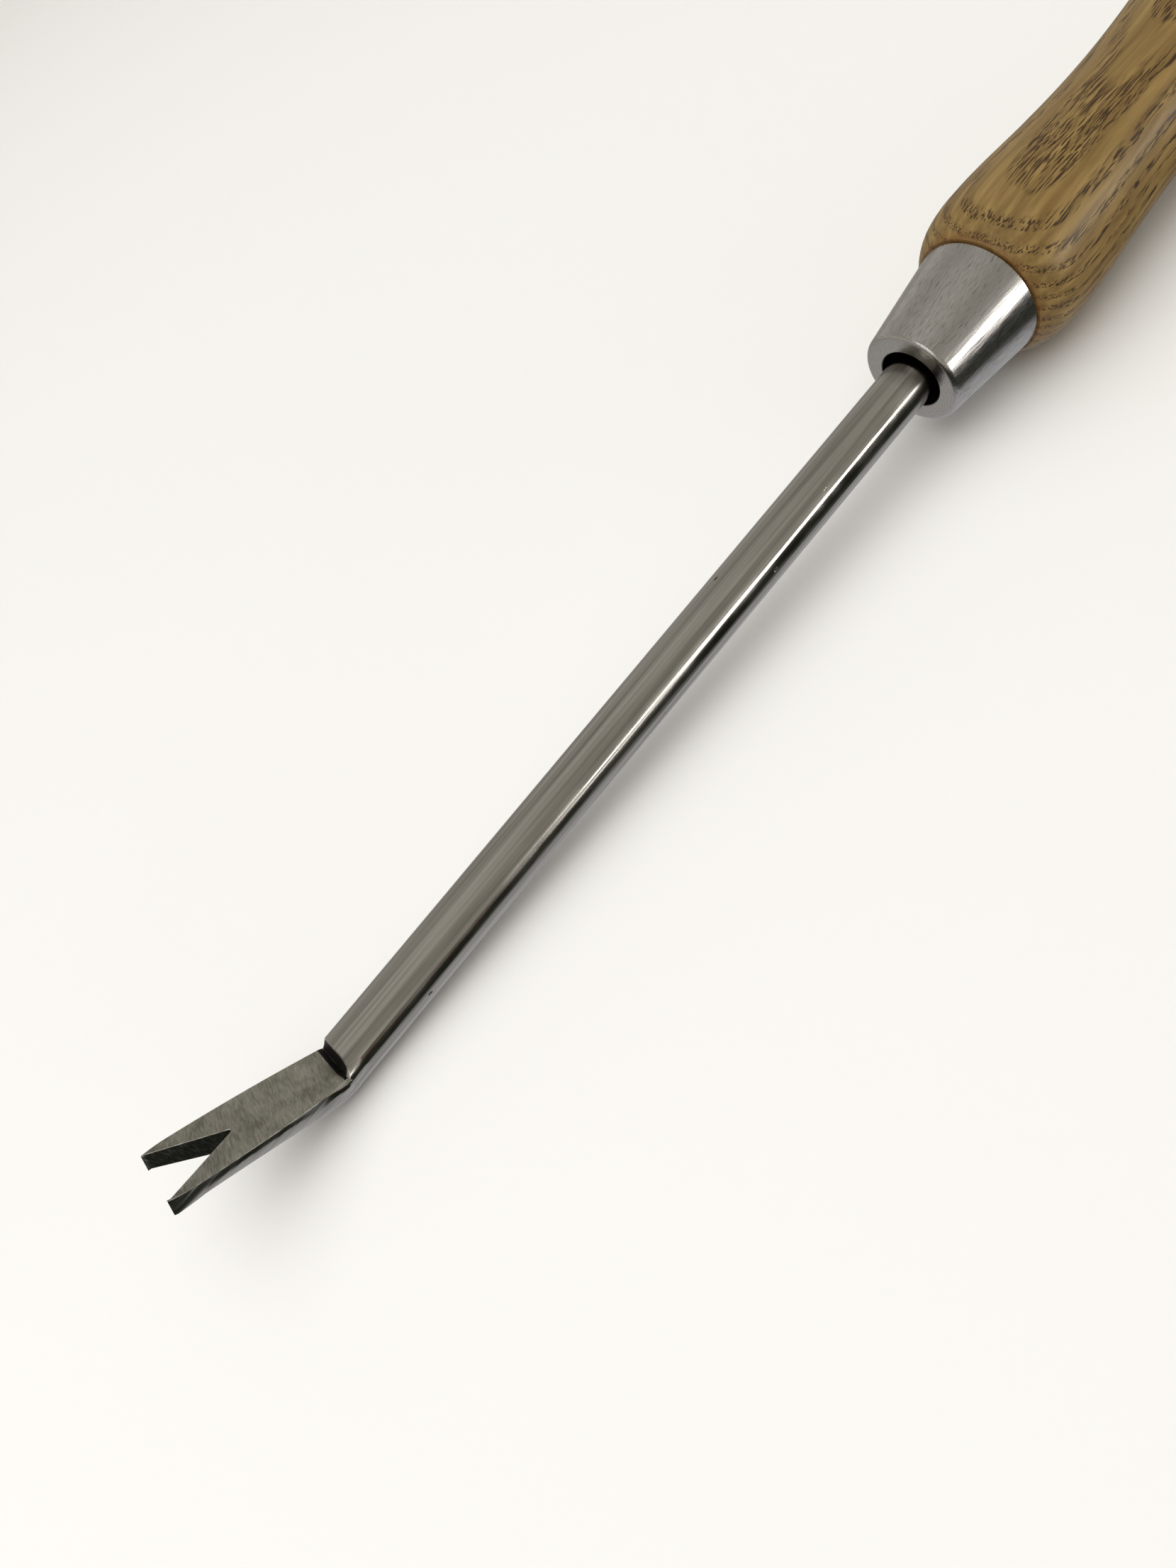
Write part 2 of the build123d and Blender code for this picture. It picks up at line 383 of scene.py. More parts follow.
# %% [markdown]
# ## The forging
# Shank and blade are one piece of steel. The round bar is cranked up at the heel, its end is drawn
# out into a flat box section, the top is ground to a flat face behind a small shoulder, and a V
# notch parts the end into two points. Booleans would cut all that from a bar, but they leave slivers
# that spoil a polished surface. Here one half of the surface is laid out as sheets of quads that
# follow the metal: rows run round the section, and columns run along the tool. The other half is
# its mirror image.

# %% Sizes of the forging, in millimetres
shank_length = 163.0  # ferrule mouth to the shoulder
face_start_x = 164.0
face_height = 0.4  # of the flat face over the axis, where it starts
crank = math.radians(27.6)
blade_length = 34.4
trimmed = 2.0
blade_stock = blade_length + trimmed  # the blade before its points were cut
heel_thickness = 7.1
tip_thickness = 3.65
heel_radius = 12.0
root_spread = 0.03  # what the blade is wider than the bar, each side, where it starts
heel_half_width, middle_half_width, tip_half_width = shank_radius + root_spread, 6.05, 6.15
heel_corner, middle_corner, tip_corner = 4.2, 4.4, 0.4  # rounding of the lower corners
side_swell = 0.12  # what the sides stand proud of the face's edges, half way along
shoulder_lean = 0.12  # what the shoulder's wall runs forward for each millimetre down, at its lip
shoulder_length = 4.7  # over which the rows turn from upright to square to the blade
lip_round = 0.22
groove_along = 1.3  # the deepest line of the shoulder, along the face
groove_depth = 0.25
groove_end = 2.3
notch_depth = 13.9
notch_rounding = 0.35
tip_half_gap = 5.75
tip_sweep = (4.5, 0.5)  # length and depth of the curve that takes each tine's edge in to its point
edge_break = 0.09  # the small bevel that a stone leaves on a ground edge
least_tine = 4 * edge_break  # the steel that is left beside the notch at the very points
collar_length = 18.0  # how far the round bar runs on behind the ferrule's mouth
weld = 0.004  # points nearer than this are one point
thinning = (heel_thickness - tip_thickness) / blade_length


def on_blade(along, depth=0.0):
    """Side view place: along the flat face from its start, and depth under it."""
    x = face_start_x + along * math.cos(crank) + depth * math.sin(crank)
    return Vector((x, face_height + along * math.sin(crank) - depth * math.cos(crank)))


heel_rise = heel_thickness * math.cos(crank) - face_height - shank_radius
heel_along = heel_rise / (math.sin(crank) + thinning * math.cos(crank))
heel_point = on_blade(heel_along, heel_thickness - thinning * heel_along)
heel_turn = crank + math.atan(thinning)
heel_tangent = heel_radius * math.tan(heel_turn / 2)
heel_start_x = heel_point.x - heel_tangent
heel_end_x = heel_point.x + heel_tangent * math.cos(heel_turn)
print(f"heel starts {heel_start_x:.1f} mm from the ferrule, face is {blade_length} mm long")

# %% [markdown]
# ### How the blade changes along its length
# Width and corner rounding change smoothly from heel to points, so each is a parabola through its
# value at the heel, half way and past the points. The depth of metal under the face follows the
# heel's arc, and the notch is a V with a small round at its root.

# %% Work out sizes along the blade
def smooth(share):
    """An even start and an even stop between 0 and 1."""
    share = max(0.0, min(1.0, share))
    return share * share * (3 - 2 * share)


def down_blade(along):
    """Share of the way from the heel to the end of the stock."""
    return max(0.0, (along - heel_along) / (blade_stock - heel_along))


def bend_through(first, middle, last, share):
    """A parabola through a size at the heel, half way along the blade and at the end of the stock."""
    half = down_blade(blade_length / 2)
    curve = (middle - first - (last - first) * half) / (half**2 - half)
    return first + (last - first - curve) * share + curve * share**2


def lean_at(along):
    """How far a row leans: upright in the bar, and square to the blade a few millimetres on."""
    return crank * smooth((along - groove_along) / shoulder_length)


def metal_under(along, lean):
    """Depth of metal under the flat face, measured along a line that leans forward from upright."""
    top = on_blade(along)
    line = Vector((math.sin(lean), -math.cos(lean)))
    to_bar = (top.y + shank_radius) / math.cos(lean)
    if top.x + to_bar * line.x <= heel_start_x:
        return to_bar
    behind = crank - lean
    to_blade = (heel_thickness - thinning * along) / (math.cos(behind) - thinning * math.sin(behind))
    if top.x + to_blade * line.x >= heel_end_x:
        return to_blade
    centre = Vector((heel_start_x, heel_radius - shank_radius)) - top
    across = centre.dot(line)
    return across + math.sqrt(across**2 - centre.length_squared + heel_radius**2)


def half_width(along):
    """Half the face's width, with the tines' outer edges swept in to their points."""
    width = bend_through(heel_half_width, middle_half_width, tip_half_width, down_blade(along))
    sweep_length, sweep_depth = tip_sweep
    sweep = along - (blade_length - sweep_length)
    if sweep > 0:
        turn = 2 * math.atan2(sweep_depth, sweep_length)
        radius = sweep_length / math.sin(turn)
        width = min(width, tip_half_gap + sweep_depth - radius + math.sqrt(radius**2 - sweep**2))
    return width


opening = math.atan2(tip_half_gap, notch_depth)
notch_root = blade_length - notch_depth
notch_centre = notch_root + notch_rounding / math.sin(opening)
notch_start = notch_centre - notch_rounding


def half_notch(along):
    """Half the notch's width, rounded at its root."""
    if along <= notch_start:
        return 0.0
    if along < notch_centre - notch_rounding * math.sin(opening):
        return math.sqrt(notch_rounding**2 - (along - notch_centre) ** 2)
    return (along - notch_root) * math.tan(opening)


for along in (5, 15, 25, 34):
    print(f"at {along} mm: half width {half_width(along):.2f}, half notch {half_notch(along):.2f}")

# %% [markdown]
# ### Rows round the metal
# A row goes round one half of one section, in three stretches: over the top, down the side and in
# along the underside, and, where there is a notch, down the notch's wall. Round the bar a row is a
# half circle. On the blade it is a rounded box under the flat face, whose lower corners are as round
# as the bar at the heel and nearly square at the points. Its sides stand a little proud of the face's
# edges half way along.

# %% Make the two kinds of row
over_steps, side_steps, corner_steps, under_steps, wall_steps = 14, 6, 14, 5, 4
edge_angle = math.asin(on_blade(groove_along, groove_depth).y / shank_radius)


def round_bar(x, angle):
    """The bar's surface at x, an angle up from its left side."""
    return Vector((x, shank_radius * math.cos(angle), shank_radius * math.sin(angle)))


def bar_row(x):
    """Half a row round the plain bar, as (over, under), split where the flat face's edge will be."""
    quarter = math.pi / 2
    down_steps = side_steps + corner_steps
    over_angles = [quarter + (edge_angle - quarter) * step / over_steps for step in range(over_steps + 1)]
    under_turn = edge_angle + quarter
    under_angles = [edge_angle - under_turn * step / down_steps for step in range(down_steps + 1)]
    over = [round_bar(x, angle) for angle in over_angles]
    under = [round_bar(x, angle) for angle in under_angles + [-quarter] * (under_steps + 1)]
    return over, under


def half_section(along, depth, inner):
    """(y, depth) points down the side, round the lower corner and in along the underside."""
    share = down_blade(along)
    width = half_width(along)
    swell = side_swell * math.sin(math.pi * min(1.0, share)) ** 2
    corner = bend_through(heel_corner, middle_corner, tip_corner, share)
    corner += (shank_radius - heel_corner) * (1 - smooth((along - groove_along) / shoulder_length))
    corner = min(corner, depth - 2 * edge_break, width + swell - inner - 2 * edge_break)
    straight = depth - corner - edge_break
    points = [(width - edge_break, 0.0)]
    for step in range(side_steps):
        fall = step / side_steps
        points.append((width + swell * smooth(fall), edge_break + straight * step / side_steps))
    turn_y, turn_depth = width + swell - corner, depth - corner
    for step in range(corner_steps):
        angle = math.pi / 2 * step / corner_steps
        points.append((turn_y + corner * math.cos(angle), turn_depth + corner * math.sin(angle)))
    for step in range(under_steps + 1):
        points.append((turn_y + (inner - turn_y) * step / under_steps, depth))
    return points


def blade_row(along):
    """Half a row of the blade, as (over, under, wall)."""
    lean = lean_at(along)
    down = Vector((math.sin(lean), -math.cos(lean)))
    depth = metal_under(along, lean)
    nick = groove_depth * max(0.0, (groove_end - along) / (groove_end - groove_along))
    width = half_width(along)
    notch = min(half_notch(along), width - least_tine)
    inner = notch + edge_break if notch else 0.0

    def sunk(y, under_face):
        """A place on this row, but nowhere above the groove's floor."""
        spot = on_blade(along) + down * max(under_face, nick)
        return Vector((spot.x, y, spot.y))

    edge = width - edge_break
    shares = [math.sin(math.pi / 2 * step / over_steps) for step in range(over_steps + 1)]
    over = [sunk(inner + (edge - inner) * share, 0) for share in shares]
    under = [sunk(y, under_face) for y, under_face in half_section(along, depth, inner)]
    bare = depth - 2 * edge_break
    wall = [sunk(notch, edge_break + bare * step / wall_steps) for step in range(wall_steps + 1)]
    return over, under, [sunk(inner, 0)] + wall + [sunk(inner, depth)]


print("points in a row of the blade:", [len(part) for part in blade_row(10)])

# %% [markdown]
# ### The shoulder
# The flat face ends in a curved wall that climbs to the top of the bar. Seen from above, its lip is an
# arc, because the wall cuts a round bar. The top rows dive down this wall to a groove, while the rows
# round the side stay where they are.

# %% Make the rows over the shoulder
groove = on_blade(groove_along, groove_depth)
lip = Vector((shank_length, shank_radius))
wall_curve_steps = 24
wall_curve = [lip] + arc(lip, (shoulder_lean, -1), groove, wall_curve_steps)


def wall_x(level):
    """How far forward the shoulder's wall is at a height over the axis."""
    if level <= groove.y + weld:
        return groove.x
    for above, below in zip(wall_curve, wall_curve[1:]):
        if below.y <= level <= above.y:
            return above.x + (below.x - above.x) * (above.y - level) / (above.y - below.y)
    return lip.x


def shoulder_row(sink):
    """Row down the shoulder's wall: sink 0 is its lip and sink 1 its groove."""
    row = bar_row(groove.x)[0]
    for point in row:
        point.y *= 1 - lip_round / shank_radius
        start = max(point.z * (1 - lip_round / shank_radius), groove.y)
        point.z = start + (groove.y - start) * sink
        point.x = wall_x(point.z)
    return row


shoulder_sinks = (0, 0.1, 0.3, 0.55, 0.8, 1)
shoulder_rows = [shoulder_row(sink) for sink in shoulder_sinks]
lip_over, lip_under = bar_row(groove.x)
for point in lip_over:
    point.x = wall_x(point.z) - lip_round
lip_over[-1].x = groove.x
print(f"the shoulder's wall drops {lip.y - groove.y:.1f} mm")

# %% [markdown]
# ### Where the rows lie
# Rows lie close together where the shape changes, at the shoulder, the heel and the root of the
# notch, and far apart along the plain shank.

# %% Place the rows
root_steps = 7
root_quarter = math.pi / 2 - opening
root_angles = [root_quarter * step / root_steps for step in range(root_steps + 1)]
root_alongs = [notch_centre - notch_rounding * math.cos(angle) for angle in root_angles]
edge_highlight_along = 6  # from here to the points the face's edges get a painted highlight
last_before_notch = notch_start - 0.4
heel_alongs = [groove_along, 1.5, 1.8, groove_end, 3.4, 4.5, edge_highlight_along]
heel_alongs += [8, 10, 12.5, 15, 17.5, 19.5, last_before_notch]
tip_alongs = [21.8, 22.6, 23.6, 25, 26.5, 28, 29, 29.9, 30.8, 31.7, 32.5, 33.2, 33.8, 34.1, blade_length]
alongs = heel_alongs + root_alongs + tip_alongs
bar_places = (-collar_length, 0, 20, 60, 100, 130, 150, 158, 161, 162.2)
bar_rows = [bar_row(x) for x in bar_places]
blade_rows = [blade_row(along) for along in alongs]
groove_row = shoulder_rows[-1]
over_rows = [groove_row] + [row[0] for row in blade_rows[1:]]
under_rows = [row[1] for row in bar_rows] + [lip_under] + [row[1] for row in blade_rows[1:]]
wall_rows = [row[2] for row, along in zip(blade_rows, alongs) if along >= root_alongs[0]]
print(len(bar_rows), "rows on the bar,", len(blade_rows), "on the blade,", len(wall_rows), "in the notch")

# %% [markdown]
# ### Sheets of quads
# A sheet starts as a flat grid, and each of its points moves to its place in the rows. Each sheet
# takes a finish: polished, ground, filed, dark with forging scale, or a painted highlight on the
# bevels where a stone broke a sharp edge.

# %% Lay the sheets
POLISHED, GROUND, FILED, SCALED, PAINTED_HIGHLIGHT = range(5)


def lay_sheet(build, rows, finish):
    """A sheet of quads through rows of places, made from a grid that is moved onto them."""
    last_row, last_column = len(rows) - 1, len(rows[0]) - 1
    made = bmesh.ops.create_grid(build, x_segments=last_row, y_segments=last_column, size=1)["verts"]
    for vert in made:
        row = round((vert.co.x + 1) / 2 * last_row)
        column = round((vert.co.y + 1) / 2 * last_column)
        vert.co = rows[row][column]
    for face in {face for vert in made for face in vert.link_faces}:
        face.material_index = finish


build = bmesh.new()
lay_sheet(build, [row[0] for row in bar_rows] + [lip_over, shoulder_rows[0]], POLISHED)
lay_sheet(build, shoulder_rows, SCALED)
# the line where the wheel stopped gets the painted highlight
lay_sheet(build, over_rows[:2], PAINTED_HIGHLIGHT)
lay_sheet(build, over_rows[1:4], SCALED)
lay_sheet(build, over_rows[3:], GROUND)
first_edge = len(bar_rows) + heel_alongs.index(edge_highlight_along)
lay_sheet(build, under_rows[: first_edge + 1], POLISHED)
# the bevels along the face's edges and the notch's edges get the painted highlight
lay_sheet(build, [row[:2] for row in under_rows[first_edge:]], PAINTED_HIGHLIGHT)
lay_sheet(build, [row[1:] for row in under_rows[first_edge:]], POLISHED)
lay_sheet(build, [row[:2] for row in wall_rows], PAINTED_HIGHLIGHT)
lay_sheet(build, [row[1:] for row in wall_rows], FILED)
bmesh.ops.remove_doubles(build, verts=build.verts, dist=weld)
print("faces in one half:", len(build.faces))

# %% Mirror the half and close the ends
bmesh.ops.mirror(build, geom=build.verts[:] + build.edges[:] + build.faces[:], axis="Y", merge_dist=weld)
bmesh.ops.remove_doubles(build, verts=build.verts, dist=weld)
open_edges = [edge for edge in build.edges if edge.is_boundary]
print("open edges before:", len(open_edges))
bmesh.ops.holes_fill(build, edges=open_edges, sides=0)
bmesh.ops.recalc_face_normals(build, faces=build.faces)
print("open edges after:", sum(edge.is_boundary for edge in build.edges))

# %% [markdown]
# ### The tang
# Inside the handle the bar is drawn down to a square taper. It is never seen, but the piece stands
# for the whole forging, so it is there: the bar's end face is pinched to a square and pulled back.

# %% Draw the tang out of the bar's rear end
tang_length = 80.0
tang_steps = ((0.0, 3.4), (tang_length - collar_length, 2.0))  # how far back, and half its side there
end_face = [face for face in build.faces if len(face.verts) > 4 and face.calc_center_median().x < 0]
for back, half in tang_steps:
    made = bmesh.ops.extrude_face_region(build, geom=end_face)["geom"]
    bmesh.ops.delete(build, geom=end_face, context="FACES_ONLY")
    end_face = [item for item in made if isinstance(item, bmesh.types.BMFace)]
    for vert in end_face[0].verts:
        vert.co.x -= back
        vert.co.y = max(-half, min(half, vert.co.y))
        vert.co.z = max(-half, min(half, vert.co.z))
bmesh.ops.remove_doubles(build, verts=build.verts, dist=weld)
bmesh.ops.recalc_face_normals(build, faces=build.faces)
print("tang ends at x =", min(vert.co.x for vert in build.verts))

# %% [markdown]
# ### The flash at the heel
# Where the blade was drawn out of the bar, metal crept sideways and was rubbed smooth: a small soft
# swelling at the left end of the shoulder. It is a push outwards that fades with distance.

# %% Raise the flash and finish the forging
flash_centre = Vector((166.0, 4.9, 1.2))
flash_reach = Vector((2.4, 1.7, 1.3))
flash_height = 1.0
build.normal_update()
for vert in build.verts:
    away = vert.co - flash_centre
    fade = sum((away[i] / flash_reach[i]) ** 2 for i in range(3))
    vert.co += vert.normal * flash_height * math.exp(-fade)
forging = finish_piece("forged_blade_and_shank", build)
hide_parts("blade_shank")

# %% [markdown]
# ## Where a pattern sits
# All finishes read Object coordinates, which are metres in the level frame. A Mapping node set to
# Texture turns them back onto the tool's axes and into millimetres. A second one of the same type
# in front of each noise then takes the size of one grain of it, in millimetres along the tool,
# across it and up.

# %% Start a material on the tool's axes
def start_material(name):
    """A new material, its tree, its shader and a socket of tool coordinates in millimetres."""
    material = bpy.data.materials.new(name)
    material.use_nodes = True
    tree = material.node_tree
    on_object = add_node(tree, "ShaderNodeTexCoord", {}).outputs["Object"]
    on_tool = add_node(
        tree,
        "ShaderNodeMapping",
        {"Vector": on_object, "Location": mouth, "Rotation": (0, nose_down, 0), "Scale": (MM, MM, MM)},
        vector_type="TEXTURE",
    )
    return material, tree, tree.nodes["Principled BSDF"], on_tool.outputs[0]


print("patterns start from", tuple(round(c, 4) for c in mouth))

# %% [markdown]
# ## Polished forged steel
# The shank is medium carbon steel that was forged, then polished lengthwise on a belt. The belt
# leaves long shallow flats that break reflections into lengthwise lines, a slightly uneven gloss, and
# a few small pits where scale had been. Right at the ferrule the bar is painted darker: painted shade
# where the ferrule shades it.

# %% Make the polished steel
polished, tree, shader, spot = start_material("polished_forged_steel")
shader.inputs["Metallic"].default_value = 1.0
grain = add_node(tree, "ShaderNodeMapping", {0: spot, "Scale": (50, 0.8, 0.8)}, vector_type="TEXTURE")
streaks = add_node(tree, "ShaderNodeTexNoise", {0: grain.outputs[0], "Scale": 1.0, "Detail": 4.0})
steel = add_node(
    tree,
    "ShaderNodeValToRGB",
    {0: streaks.outputs[0]},
    stops=((0.3, "#9b978e"), (0.72, "#c7c3bb"), (0.5, "#b4b0a8")),
)
grain = add_node(tree, "ShaderNodeMapping", {0: spot, "Scale": (9, 3, 3)}, vector_type="TEXTURE")
clouds = add_node(tree, "ShaderNodeTexNoise", {0: grain.outputs[0], "Scale": 1.0, "Detail": 5.0})
gloss = add_node(
    tree,
    "ShaderNodeMapRange",
    {0: clouds.outputs[0], "From Min": 0.35, "From Max": 0.65, "To Min": 0.14, "To Max": 0.27},
)
grain = add_node(tree, "ShaderNodeMapping", {0: spot, "Scale": (14, 6, 6)}, vector_type="TEXTURE")
cells = add_node(tree, "ShaderNodeTexVoronoi", {0: grain.outputs[0], "Scale": 1.0})
pits = add_node(tree, "ShaderNodeMapRange", {0: cells.outputs[0], "From Min": 0.045, "From Max": 0.02})
along_tool = add_node(tree, "ShaderNodeSeparateXYZ", {0: spot})
# painted shade: the bar's colour darkens over the last millimetres before the ferrule's mouth, where the
# ferrule shades it
painted_shade_length, most_painted_shade = 6.0, 0.75  # millimetres in front of the ferrule, and the share at its mouth
painted_shade_by_ferrule = add_node(
    tree,
    "ShaderNodeMapRange",
    {0: along_tool.outputs["X"], "From Min": painted_shade_length, "From Max": 0.0, "To Max": most_painted_shade},
)
pits_and_painted_shade = add_node(tree, "ShaderNodeMath", {0: pits.outputs[0], 1: painted_shade_by_ferrule.outputs[0]}, operation="MAXIMUM")
# the pits' dark is their own colour; the same dark near the ferrule is painted shade
colour = add_node(
    tree, "ShaderNodeMix", {0: pits_and_painted_shade.outputs[0], 6: steel.outputs[0], 7: paint("#2b2721")}, data_type="RGBA"
)
tree.links.new(colour.outputs[2], shader.inputs["Base Color"])
tree.links.new(gloss.outputs[0], shader.inputs["Roughness"])
print("colour, gloss and pits take", len(tree.nodes), "nodes")

# %% Add the belt's flats and the pits as relief
grain = add_node(tree, "ShaderNodeMapping", {0: spot, "Scale": (120, 1.5, 1.5)}, vector_type="TEXTURE")
flats = add_node(tree, "ShaderNodeTexNoise", {0: grain.outputs[0], "Scale": 1.0, "Detail": 2.0})
relief = add_node(tree, "ShaderNodeBump", {"Height": flats.outputs[0], "Distance": 0.09 * MM})
relief = add_node(
    tree,
    "ShaderNodeBump",
    {"Height": pits.outputs[0], "Distance": 0.1 * MM, "Normal": relief.outputs[0]},
    invert=True,
)
tree.links.new(relief.outputs[0], shader.inputs["Normal"])
forging.data.materials.append(polished)
print(polished.name, "has", len(tree.nodes), "nodes")

# %% [markdown]
# ## Ground steel
# The flat face was ground across the blade and never polished. The wheel's marks are much finer than
# a tenth of a millimetre. They are drawn 0.25 mm wide, because finer ones would not show, with some
# broad faint patches where the wheel pressed harder. The marks lie a little askew.

# %% Make the ground steel
ground, tree, shader, spot = start_material("ground_steel_face")
shader.inputs["Metallic"].default_value = 1.0
shader.inputs["Roughness"].default_value = 0.42
grinding_skew = math.radians(-14)
grain = add_node(
    tree,
    "ShaderNodeMapping",
    {0: spot, "Scale": (0.25, 2.4, 0.25), "Rotation": (0, 0, grinding_skew)},
    vector_type="TEXTURE",
)
marks = add_node(tree, "ShaderNodeTexNoise", {0: grain.outputs[0], "Scale": 1.0, "Detail": 4.0})
grain = add_node(tree, "ShaderNodeMapping", {0: spot, "Scale": (4, 4, 4)}, vector_type="TEXTURE")
patches = add_node(tree, "ShaderNodeTexNoise", {0: grain.outputs[0], "Scale": 1.0, "Detail": 4.0})
wear = add_node(tree, "ShaderNodeMix", {0: 0.5, 2: marks.outputs[0], 3: patches.outputs[0]})
colour = add_node(
    tree,
    "ShaderNodeValToRGB",
    {0: wear.outputs[0]},
    stops=((0.38, "#8a877d"), (0.64, "#c2bfb3"), (0.5, "#a8a59a")),
)
relief = add_node(
    tree,
    "ShaderNodeBump",
    {"Height": marks.outputs[0], "Distance": 0.02 * MM, "Strength": 0.6},
)
tree.links.new(colour.outputs[0], shader.inputs["Base Color"])
tree.links.new(relief.outputs[0], shader.inputs["Normal"])
forging.data.materials.append(ground)
print(ground.name, "has", len(tree.nodes), "nodes")

# %% [markdown]
# ## Filed steel, forging scale and a painted highlight on the edges
# The notch was filed downwards through the blade, which leaves short upright scratches in a dark
# wall. The shoulder could not be ground at all and keeps its black forging scale. The small bevels
# where a stone broke the sharp edges, and the line where the wheel stopped, are painted bright: a
# painted highlight.

# %% Make the filed steel
filed, tree, shader, spot = start_material("filed_notch_steel")
shader.inputs["Metallic"].default_value = 1.0
shader.inputs["Roughness"].default_value = 0.4
grain = add_node(tree, "ShaderNodeMapping", {0: spot, "Scale": (0.3, 0.3, 2.0)}, vector_type="TEXTURE")
marks = add_node(tree, "ShaderNodeTexNoise", {0: grain.outputs[0], "Scale": 1.0, "Detail": 4.0})
colour = add_node(
    tree,
    "ShaderNodeValToRGB",
    {0: marks.outputs[0]},
    stops=((0.3, "#4b5047"), (0.75, "#b0aea6"), (0.55, "#6f7168")),
)
tree.links.new(colour.outputs[0], shader.inputs["Base Color"])
forging.data.materials.append(filed)
print(filed.name, "has", len(tree.nodes), "nodes")

# %% Make the forging scale and the edges' painted highlight
scaled, tree, shader, spot = start_material("scaled_shoulder_steel")
shader.inputs["Metallic"].default_value = 0.7
shader.inputs["Roughness"].default_value = 0.5
grain = add_node(tree, "ShaderNodeMapping", {0: spot, "Scale": (0.5, 1.5, 0.5)}, vector_type="TEXTURE")
marks = add_node(tree, "ShaderNodeTexNoise", {0: grain.outputs[0], "Scale": 1.0, "Detail": 4.0})
colour = add_node(
    tree,
    "ShaderNodeValToRGB",
    {0: marks.outputs[0]},
    stops=((0.35, "#100f0d"), (0.8, "#3a3731"), (0.6, "#1d1b18")),
)
tree.links.new(colour.outputs[0], shader.inputs["Base Color"])
forging.data.materials.append(scaled)

# painted highlight: the steel on the edge bevels is painted nearly white, brighter than the lamps would make
# it
painted_highlight_steel, tree, shader, spot = start_material("painted_highlight_steel_edge")
shader.inputs["Metallic"].default_value = 1.0
shader.inputs["Roughness"].default_value = 0.3
grain = add_node(tree, "ShaderNodeMapping", {0: spot, "Scale": (1.5, 1.5, 1.5)}, vector_type="TEXTURE")
marks = add_node(tree, "ShaderNodeTexNoise", {0: grain.outputs[0], "Scale": 1.0, "Detail": 3.0})
colour = add_node(
    tree,
    "ShaderNodeValToRGB",
    {0: marks.outputs[0]},
    stops=((0.35, "#8d8a82"), (0.65, "#f2f0ea")),
)
tree.links.new(colour.outputs[0], shader.inputs["Base Color"])
forging.data.materials.append(painted_highlight_steel)
print("finishes on the forging:", [material.name for material in forging.data.materials])

# %% [markdown]
# ## Satin steel for the ferrule
# The ferrule is mild steel that was drawn, then brushed lengthwise to a satin. The brush leaves short
# fine scratches, some of them darker, which are drawn about 0.2 mm wide so that they show. Down in
# the mouth, round the hole, the steel is painted nearly black: painted shade in the hole.

# %% Make the satin steel
satin, tree, shader, spot = start_material("satin_ferrule_steel")
shader.inputs["Metallic"].default_value = 1.0
grain = add_node(tree, "ShaderNodeMapping", {0: spot, "Scale": (9, 0.22, 0.22)}, vector_type="TEXTURE")
brushed = add_node(tree, "ShaderNodeTexNoise", {0: grain.outputs[0], "Scale": 1.0, "Detail": 3.0})
steel = add_node(
    tree,
    "ShaderNodeValToRGB",
    {0: brushed.outputs[0]},
    stops=((0.28, "#8d8984"), (0.7, "#d0cdc9"), (0.4, "#bcb8b3")),
)
off_axis = add_node(tree, "ShaderNodeVectorMath", {0: spot, 1: (0, 1, 1)}, operation="MULTIPLY")
off_axis = add_node(tree, "ShaderNodeVectorMath", {0: off_axis.outputs[0]}, operation="LENGTH")
# painted shade: round the hole the steel is painted nearly black, the shade down in the mouth
unshaded_radius = ferrule_hole_radius + 0.35
full_shade_radius = ferrule_hole_radius + 0.1
painted_shade_in_hole = add_node(
    tree,
    "ShaderNodeMapRange",
    {0: off_axis.outputs["Value"], "From Min": unshaded_radius, "From Max": full_shade_radius},
)
colour = add_node(
    tree,
    "ShaderNodeMix",
    {0: painted_shade_in_hole.outputs[0], 6: steel.outputs[0], 7: paint("#11120f")},
    data_type="RGBA",
)
gloss = add_node(
    tree,
    "ShaderNodeMapRange",
    {0: brushed.outputs[0], "From Min": 0.35, "From Max": 0.65, "To Min": 0.3, "To Max": 0.2},
)
grain = add_node(tree, "ShaderNodeMapping", {0: spot, "Scale": (60, 1.6, 1.6)}, vector_type="TEXTURE")
flats = add_node(tree, "ShaderNodeTexNoise", {0: grain.outputs[0], "Scale": 1.0, "Detail": 2.0})
relief = add_node(tree, "ShaderNodeBump", {"Height": flats.outputs[0], "Distance": 0.07 * MM})
relief = add_node(
    tree,
    "ShaderNodeBump",
    {"Height": brushed.outputs[0], "Distance": 0.006 * MM, "Normal": relief.outputs[0]},
)
tree.links.new(colour.outputs[2], shader.inputs["Base Color"])
tree.links.new(gloss.outputs[0], shader.inputs["Roughness"])
tree.links.new(relief.outputs[0], shader.inputs["Normal"])
ferrule.data.materials.append(satin)
print(satin.name, "has", len(tree.nodes), "nodes")

# %% [markdown]
# ## Varnished ash
# Ash is ring-porous: each year starts with a band of open pores and ends in dense wood. So the
# pattern is built as a tree grows: distance from a pith line beside the handle, cut into years, and
# long thin pores only in the first part of each year. Because it fills space, the lathe's cut shows
# the right figure everywhere by itself: stripes along the sides and arcs where the bulge cuts across
# the rings. The pith line tilts a little against the handle, as it does in most split billets.

